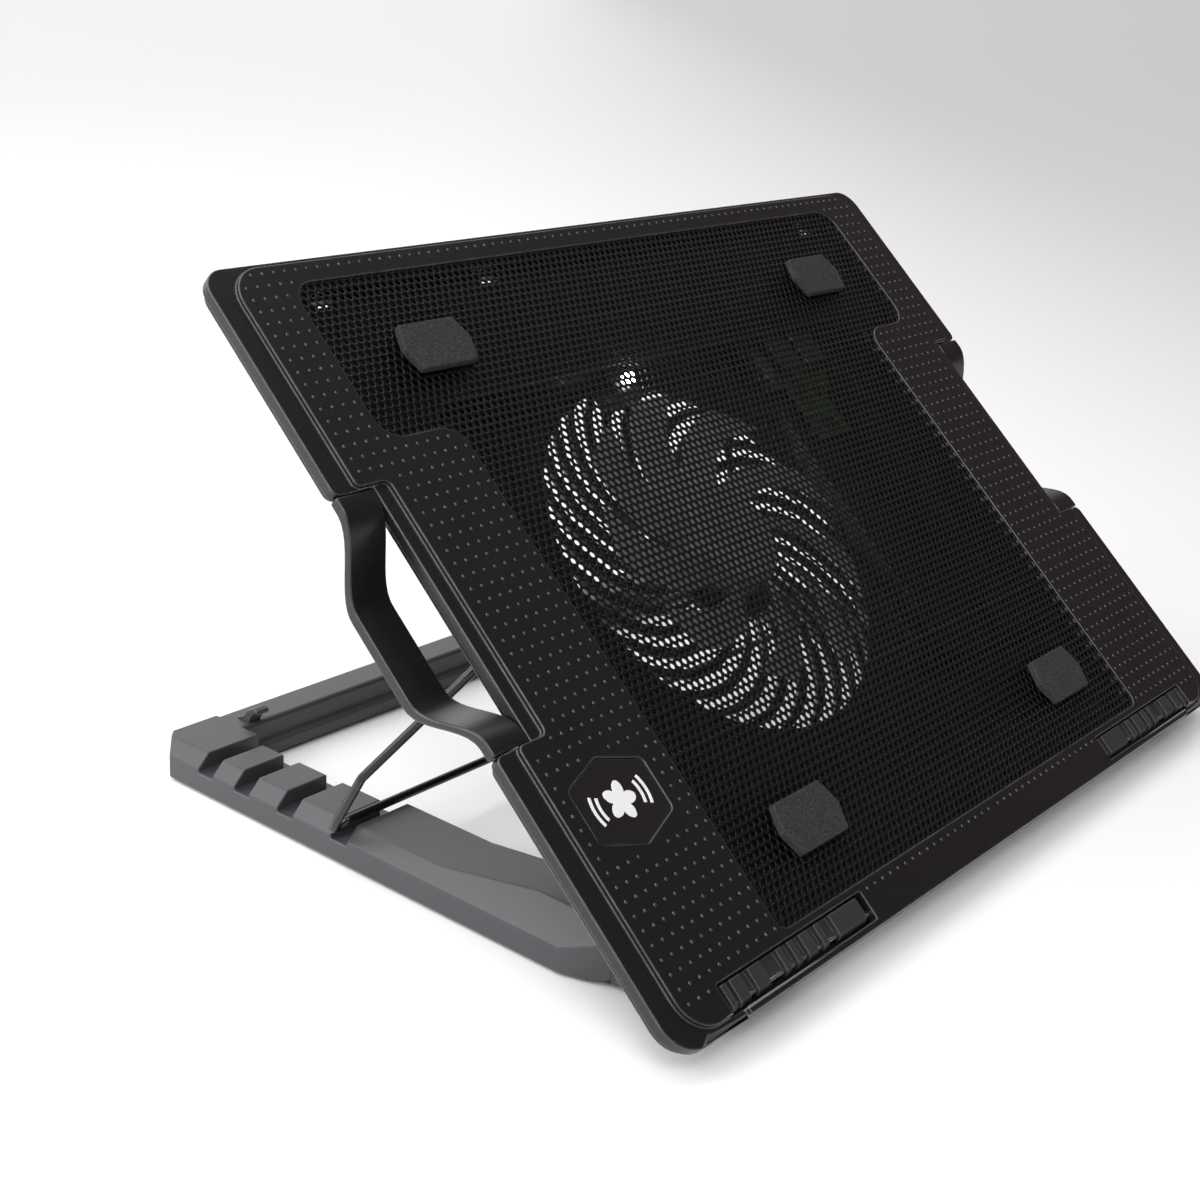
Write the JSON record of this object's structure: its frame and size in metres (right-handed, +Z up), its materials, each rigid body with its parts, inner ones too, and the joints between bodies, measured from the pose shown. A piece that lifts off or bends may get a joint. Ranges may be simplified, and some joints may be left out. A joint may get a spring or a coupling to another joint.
{
  "type": "laptop cooling pad",
  "caption": "Tilting laptop cooling pad: a perforated tray with a large fan, side handles and flip-up front stops, hinged to a base frame and propped by a wire bail in notches",
  "frame": {"origin": "on the floor under the middle of the object's box, in the propped pose", "axes": "+X runs along the tray's width to the right of a user who faces it, +Y to the rear, +Z up"},
  "size_m": [0.38, 0.2628, 0.1992],
  "materials": {
    "frame_plastic": "fine grained dark grey ABS",
    "foot_rubber": "matt black rubber",
    "pin_steel": "turned steel",
    "shell_plastic": "satin black ABS with a fine grain",
    "grille_metal": "black lacquered perforated steel",
    "pad_rubber": "grey moulded rubber, finely speckled",
    "badge_gloss": "polished black",
    "badge_white": "white printed inlay",
    "screw_steel": "blackened steel screw",
    "fan_plastic": "moulded black PBT",
    "winding_copper": "enamelled copper on a laminated core",
    "bearing_brass": "sintered bronze",
    "lead_jacket": "flat two-core lead",
    "led_lens": "moulded epoxy lens",
    "board_green": "solder mask over copper tracks",
    "socket_steel": "tinned steel shell",
    "magnet_ferrite": "ferrite ring",
    "stop_plastic": "satin black ABS, worn a little at the corners",
    "wire_black": "gloss black coated spring steel"
  },
  "bodies": {
    "base": {"base_left_arm": "frame_plastic", "base_right_arm": "frame_plastic", "base_rear_bar": "frame_plastic", "base_front_bar": "frame_plastic", "base_feet": "foot_rubber", "wire_clips": "frame_plastic", "left_hinge_pin": "pin_steel", "right_hinge_pin": "pin_steel"},
    "rotor": {"fan_rotor": "fan_plastic", "fan_magnet": "magnet_ferrite", "fan_shaft": "pin_steel"},
    "left_stop": {"left_stop": "stop_plastic"},
    "right_stop": {"right_stop": "stop_plastic"},
    "prop": {"prop_wire": "wire_black"},
    "tray": {"top_cover": "shell_plastic", "mesh_grille": "grille_metal", "bottom_cover": "shell_plastic", "fan_well": "shell_plastic", "left_handle": "shell_plastic", "right_handle": "shell_plastic", "left_hinge_bracket": "shell_plastic", "right_hinge_bracket": "shell_plastic", "left_wire_saddle": "shell_plastic", "right_wire_saddle": "shell_plastic", "rear_left_pad": "pad_rubber", "rear_right_pad": "pad_rubber", "front_left_pad": "pad_rubber", "front_right_pad": "pad_rubber", "badge_plate": "badge_gloss", "badge_icon": "badge_white", "cover_screws": "screw_steel", "fan_motor_base": "fan_plastic", "fan_stator": "winding_copper", "fan_bearing": "bearing_brass", "fan_lead": "lead_jacket", "led_holder": "fan_plastic", "led_lamp": "led_lens", "control_board": "board_green", "left_usb_socket": "socket_steel", "right_usb_socket": "socket_steel", "left_stop_pin": "pin_steel", "right_stop_pin": "pin_steel"}
  },
  "joints": [
    {"name": "tray_tilt", "type": "hinge", "parent": "base", "child": "tray", "pos_m": [0, -0.09658, 0.012], "axis": [1, 0, 0], "range_deg": [-42.5, 10]},
    {"name": "prop_swing", "type": "hinge", "parent": "tray", "child": "prop", "pos_m": [0, -0.02348, 0.09594], "axis": [1, 0, 0], "range_deg": [-24, 99]},
    {"name": "fan_spin", "type": "hinge", "parent": "tray", "child": "rotor", "pos_m": [-0.023, -0.0123, 0.09262], "axis": [0, -0.6756, 0.7373], "continuous": true},
    {"name": "left_stop_flip", "type": "hinge", "parent": "tray", "child": "left_stop", "pos_m": [-0.125, -0.12632, 0.01337], "axis": [1, 0, 0], "range_deg": [0, 95]},
    {"name": "right_stop_flip", "type": "hinge", "parent": "tray", "child": "right_stop", "pos_m": [0.125, -0.12632, 0.01337], "axis": [1, 0, 0], "range_deg": [0, 95]}
  ],
  "couplings": [
    {"joint": "prop_swing", "follows": "tray_tilt", "ratio": -2.3185}
  ]
}
